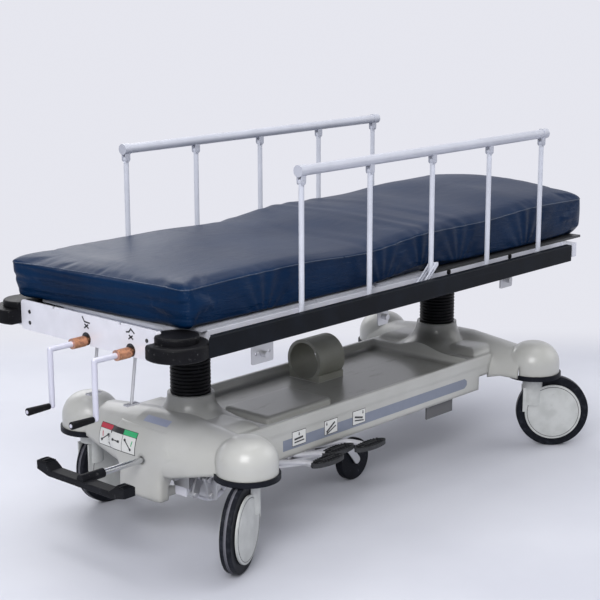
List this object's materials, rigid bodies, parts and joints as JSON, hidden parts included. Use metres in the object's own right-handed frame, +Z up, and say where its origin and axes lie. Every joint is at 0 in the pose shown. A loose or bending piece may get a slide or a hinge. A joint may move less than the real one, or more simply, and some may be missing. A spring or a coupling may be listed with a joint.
{
  "type": "patient transport stretcher",
  "caption": "Wheeled hospital stretcher with a folding mattress deck, fold-down siderails, twin bellows lift columns, foot-end cranks, moulded base hood and swivel casters.",
  "frame": {"origin": "on the floor under the middle of the bounding box, so half way between the crank grips at the foot end and the head end of the mattress, on the stretcher's middle plane", "axes": "+X along the stretcher towards the head end, +Z up, +Y to the side away from the pump pedals"},
  "size_m": [2.193, 0.987, 1.117],
  "materials": {
    "painted_steel": "semi-gloss white enamel",
    "painted_sheet": "semi-gloss white enamel",
    "panel_board": "grey laminate board",
    "dark_steel": "satin black",
    "ram_steel": "polished",
    "crank_steel": "polished with wear",
    "rail_steel": "bright plated tube",
    "pivot_steel": "brushed",
    "bracket_steel": "zinc plated",
    "hood_plastic": "moulded, glossy domes",
    "fork_plastic": "moulded",
    "tunnel_plastic": "moulded",
    "ring_rubber": "matt",
    "bellows_rubber": "matt folds",
    "strip_rubber": "worn, matt",
    "grip_rubber": "satin",
    "pedal_rubber": "ribbed",
    "tread_rubber": "matt tyre on a grey disc",
    "mattress_vinyl": "coated navy cover over foam"
  },
  "bodies": {
    "base": {"chassis": "painted_steel", "hood": "hood_plastic", "dome_rings": "ring_rubber", "jack_cylinders": "dark_steel", "bottle_tunnel": "tunnel_plastic", "brake_linkage": "dark_steel"},
    "lift": {"foot_ram": "ram_steel", "foot_bellows": "bellows_rubber"},
    "head_lift": {"head_ram": "ram_steel", "head_bellows": "bellows_rubber"},
    "litter": {"litter_frame": "painted_steel", "foot_bar": "painted_sheet", "bumper_strips": "strip_rubber", "corner_bumpers": "strip_rubber", "seat_panel": "panel_board", "mattress_seat": "mattress_vinyl", "mattress_fold_back": "mattress_vinyl", "mattress_fold_thigh": "mattress_vinyl", "rail_pivots": "pivot_steel", "side_brackets": "bracket_steel", "foot_hooks": "bracket_steel"},
    "back": {"back_panel": "panel_board", "mattress_back": "mattress_vinyl"},
    "thigh": {"thigh_panel": "panel_board", "mattress_thigh": "mattress_vinyl"},
    "calf": {"calf_panel": "panel_board", "mattress_calf": "mattress_vinyl"},
    "crank_back_turn": {"crank_back": "crank_steel"},
    "grip_back_turn": {"crank_grip_back": "grip_rubber"},
    "crank_knee_turn": {"crank_knee": "crank_steel"},
    "grip_knee_turn": {"crank_grip_knee": "grip_rubber"},
    "spindle_near_1": {"spindle_near_1": "rail_steel"},
    "spindle_near_2": {"spindle_near_2": "rail_steel"},
    "spindle_near_3": {"spindle_near_3": "rail_steel"},
    "spindle_near_4": {"spindle_near_4": "rail_steel"},
    "spindle_near_5": {"spindle_near_5": "rail_steel"},
    "siderail_near": {"siderail_near": "rail_steel"},
    "latch_near": {"rail_latch_near": "pivot_steel"},
    "spindle_far_1": {"spindle_far_1": "rail_steel"},
    "spindle_far_2": {"spindle_far_2": "rail_steel"},
    "spindle_far_3": {"spindle_far_3": "rail_steel"},
    "spindle_far_4": {"spindle_far_4": "rail_steel"},
    "spindle_far_5": {"spindle_far_5": "rail_steel"},
    "siderail_far": {"siderail_far": "rail_steel"},
    "latch_far": {"rail_latch_far": "pivot_steel"},
    "fork_near_foot": {"caster_fork_near_foot": "fork_plastic"},
    "wheel_near_foot": {"caster_wheel_near_foot": "tread_rubber"},
    "fork_far_foot": {"caster_fork_far_foot": "fork_plastic"},
    "wheel_far_foot": {"caster_wheel_far_foot": "tread_rubber"},
    "fork_near_head": {"caster_fork_near_head": "fork_plastic"},
    "wheel_near_head": {"caster_wheel_near_head": "tread_rubber"},
    "fork_far_head": {"caster_fork_far_head": "fork_plastic"},
    "wheel_far_head": {"caster_wheel_far_head": "tread_rubber"},
    "brake_bar": {"brake_pedal": "pedal_rubber", "brake_pedal_shaft": "crank_steel"},
    "steer_arm": {"steering_arm": "pivot_steel"},
    "steer_wheel": {"steering_wheel": "tread_rubber"},
    "pump_foot": {"pump_pedal_foot": "pedal_rubber"},
    "pump_middle": {"pump_pedal_middle": "pedal_rubber"},
    "pump_head": {"pump_pedal_head": "pedal_rubber"}
  },
  "joints": [
    {"name": "lift_height", "type": "slide", "parent": "base", "child": "lift", "axis": [0, 0, 1], "range_m": [-0.14, 0.13], "deforming": ["foot_bellows", "head_bellows"]},
    {"name": "litter_tilt", "type": "hinge", "parent": "lift", "child": "litter", "pos_m": [-0.4935, 0, 0.655], "axis": [0, 1, 0], "range_deg": [-7, 7]},
    {"name": "head_lift_height", "type": "slide", "parent": "lift", "child": "head_lift", "axis": [0, 0, 1], "range_m": [-0.15, 0.15], "deforming": ["head_bellows"]},
    {"name": "back_raise", "type": "hinge", "parent": "litter", "child": "back", "pos_m": [0.2255, 0, 0.698], "axis": [0, -1, 0], "range_deg": [0, 75], "deforming": ["mattress_fold_back"]},
    {"name": "thigh_raise", "type": "hinge", "parent": "litter", "child": "thigh", "pos_m": [-0.0365, 0, 0.698], "axis": [0, 1, 0], "range_deg": [0, 30], "deforming": ["mattress_fold_thigh"]},
    {"name": "knee_bend", "type": "hinge", "parent": "thigh", "child": "calf", "pos_m": [-0.3165, 0, 0.698], "axis": [0, 1, 0], "range_deg": [-46, 0]},
    {"name": "crank_back_turn", "type": "hinge", "parent": "litter", "child": "crank_back_turn", "pos_m": [-1.0105, 0, 0.645], "axis": [1, 0, 0], "range_deg": [0, 1800]},
    {"name": "grip_back_spin", "type": "hinge", "parent": "crank_back_turn", "child": "grip_back_turn", "pos_m": [-1.0565, 0, 0.487], "axis": [1, 0, 0], "continuous": true},
    {"name": "crank_knee_turn", "type": "hinge", "parent": "litter", "child": "crank_knee_turn", "pos_m": [-1.0105, -0.184, 0.645], "axis": [1, 0, 0], "range_deg": [0, 720]},
    {"name": "grip_knee_spin", "type": "hinge", "parent": "crank_knee_turn", "child": "grip_knee_turn", "pos_m": [-1.0565, -0.184, 0.487], "axis": [1, 0, 0], "continuous": true},
    {"name": "spindle_turn_near_1", "type": "hinge", "parent": "litter", "child": "spindle_near_1", "pos_m": [-0.4035, -0.366, 0.668], "axis": [0, -1, 0], "range_deg": [0, 76]},
    {"name": "spindle_turn_near_2", "type": "hinge", "parent": "litter", "child": "spindle_near_2", "pos_m": [-0.1055, -0.366, 0.668], "axis": [0, -1, 0], "range_deg": [0, 76]},
    {"name": "rail_fold_near", "type": "hinge", "parent": "litter", "child": "spindle_near_3", "pos_m": [0.1925, -0.366, 0.668], "axis": [0, -1, 0], "range_deg": [0, 76]},
    {"name": "spindle_turn_near_4", "type": "hinge", "parent": "litter", "child": "spindle_near_4", "pos_m": [0.4905, -0.366, 0.668], "axis": [0, -1, 0], "range_deg": [0, 76]},
    {"name": "spindle_turn_near_5", "type": "hinge", "parent": "litter", "child": "spindle_near_5", "pos_m": [0.7885, -0.366, 0.668], "axis": [0, -1, 0], "range_deg": [0, 76]},
    {"name": "rail_level_near", "type": "hinge", "parent": "spindle_near_3", "child": "siderail_near", "pos_m": [0.1925, -0.366, 1.069], "axis": [0, -1, 0], "range_deg": [-76, 0]},
    {"name": "latch_turn_near", "type": "hinge", "parent": "litter", "child": "latch_near", "pos_m": [0.1245, -0.366, 0.672], "axis": [0, 1, 0], "range_deg": [0, 20]},
    {"name": "spindle_turn_far_1", "type": "hinge", "parent": "litter", "child": "spindle_far_1", "pos_m": [-0.4035, 0.366, 0.668], "axis": [0, -1, 0], "range_deg": [0, 76]},
    {"name": "spindle_turn_far_2", "type": "hinge", "parent": "litter", "child": "spindle_far_2", "pos_m": [-0.1055, 0.366, 0.668], "axis": [0, -1, 0], "range_deg": [0, 76]},
    {"name": "rail_fold_far", "type": "hinge", "parent": "litter", "child": "spindle_far_3", "pos_m": [0.1925, 0.366, 0.668], "axis": [0, -1, 0], "range_deg": [0, 76]},
    {"name": "spindle_turn_far_4", "type": "hinge", "parent": "litter", "child": "spindle_far_4", "pos_m": [0.4905, 0.366, 0.668], "axis": [0, -1, 0], "range_deg": [0, 76]},
    {"name": "spindle_turn_far_5", "type": "hinge", "parent": "litter", "child": "spindle_far_5", "pos_m": [0.7885, 0.366, 0.668], "axis": [0, -1, 0], "range_deg": [0, 76]},
    {"name": "rail_level_far", "type": "hinge", "parent": "spindle_far_3", "child": "siderail_far", "pos_m": [0.1925, 0.366, 1.069], "axis": [0, -1, 0], "range_deg": [-76, 0]},
    {"name": "latch_turn_far", "type": "hinge", "parent": "litter", "child": "latch_far", "pos_m": [0.1245, 0.366, 0.672], "axis": [0, 1, 0], "range_deg": [0, 20]},
    {"name": "swivel_near_foot", "type": "hinge", "parent": "base", "child": "fork_near_foot", "pos_m": [-0.5995, -0.338, 0.25], "axis": [0, 0, 1], "continuous": true},
    {"name": "roll_near_foot", "type": "hinge", "parent": "fork_near_foot", "child": "wheel_near_foot", "pos_m": [-0.66204, -0.36716, 0.125], "axis": [0.4226, -0.9063, 0], "continuous": true},
    {"name": "swivel_far_foot", "type": "hinge", "parent": "base", "child": "fork_far_foot", "pos_m": [-0.5995, 0.338, 0.25], "axis": [0, 0, 1], "continuous": true},
    {"name": "roll_far_foot", "type": "hinge", "parent": "fork_far_foot", "child": "wheel_far_foot", "pos_m": [-0.53051, 0.3392, 0.125], "axis": [-0.0175, 0.9998, 0], "continuous": true},
    {"name": "swivel_near_head", "type": "hinge", "parent": "base", "child": "fork_near_head", "pos_m": [0.8285, -0.338, 0.25], "axis": [0, 0, 1], "continuous": true},
    {"name": "roll_near_head", "type": "hinge", "parent": "fork_near_head", "child": "wheel_near_head", "pos_m": [0.87377, -0.39008, 0.125], "axis": [0.7547, 0.6561, 0], "continuous": true},
    {"name": "swivel_far_head", "type": "hinge", "parent": "base", "child": "fork_far_head", "pos_m": [0.8285, 0.338, 0.25], "axis": [0, 0, 1], "continuous": true},
    {"name": "roll_far_head", "type": "hinge", "parent": "fork_far_head", "child": "wheel_far_head", "pos_m": [0.87377, 0.39008, 0.125], "axis": [-0.7547, 0.6561, 0], "continuous": true},
    {"name": "brake_pedal_tilt", "type": "hinge", "parent": "base", "child": "brake_bar", "pos_m": [-0.9065, 0, 0.25], "axis": [1, 0, 0], "range_deg": [0, 30]},
    {"name": "steer_arm_lift", "type": "hinge", "parent": "base", "child": "steer_arm", "pos_m": [0.0255, -0.103, 0.196], "axis": [0, -1, 0], "range_deg": [0, 15]},
    {"name": "steer_wheel_roll", "type": "hinge", "parent": "steer_arm", "child": "steer_wheel", "pos_m": [0.1295, -0.103, 0.07], "axis": [0, 1, 0], "continuous": true},
    {"name": "pump_press_foot", "type": "hinge", "parent": "base", "child": "pump_foot", "pos_m": [-0.3835, -0.201, 0.232], "axis": [0, 1, 0], "range_deg": [0, 15], "stiffness_Nm_per_rad": 20, "springref_deg": -8.59},
    {"name": "pump_press_middle", "type": "hinge", "parent": "base", "child": "pump_middle", "pos_m": [-0.2885, -0.201, 0.232], "axis": [0, 1, 0], "range_deg": [0, 15], "stiffness_Nm_per_rad": 20, "springref_deg": -8.59},
    {"name": "pump_press_head", "type": "hinge", "parent": "base", "child": "pump_head", "pos_m": [-0.1835, -0.201, 0.232], "axis": [0, 1, 0], "range_deg": [0, 15], "stiffness_Nm_per_rad": 20, "springref_deg": -8.59}
  ],
  "couplings": [
    {"joint": "head_lift_height", "follows": "litter_tilt", "m_per_rad": -1.207},
    {"joint": "knee_bend", "follows": "thigh_raise", "ratio": -1.52},
    {"joint": "crank_back_turn", "follows": "back_raise", "ratio": 24},
    {"joint": "crank_knee_turn", "follows": "thigh_raise", "ratio": 24},
    {"joint": "spindle_turn_near_1", "follows": "rail_fold_near", "ratio": 1},
    {"joint": "spindle_turn_near_2", "follows": "rail_fold_near", "ratio": 1},
    {"joint": "spindle_turn_near_4", "follows": "rail_fold_near", "ratio": 1},
    {"joint": "spindle_turn_near_5", "follows": "rail_fold_near", "ratio": 1},
    {"joint": "rail_level_near", "follows": "rail_fold_near", "ratio": -1},
    {"joint": "latch_turn_near", "follows": "rail_fold_near", "ratio": 0.263},
    {"joint": "spindle_turn_far_1", "follows": "rail_fold_far", "ratio": 1},
    {"joint": "spindle_turn_far_2", "follows": "rail_fold_far", "ratio": 1},
    {"joint": "spindle_turn_far_4", "follows": "rail_fold_far", "ratio": 1},
    {"joint": "spindle_turn_far_5", "follows": "rail_fold_far", "ratio": 1},
    {"joint": "rail_level_far", "follows": "rail_fold_far", "ratio": -1},
    {"joint": "latch_turn_far", "follows": "rail_fold_far", "ratio": 0.263},
    {"joint": "steer_arm_lift", "follows": "brake_pedal_tilt", "ratio": 0.5}
  ]
}
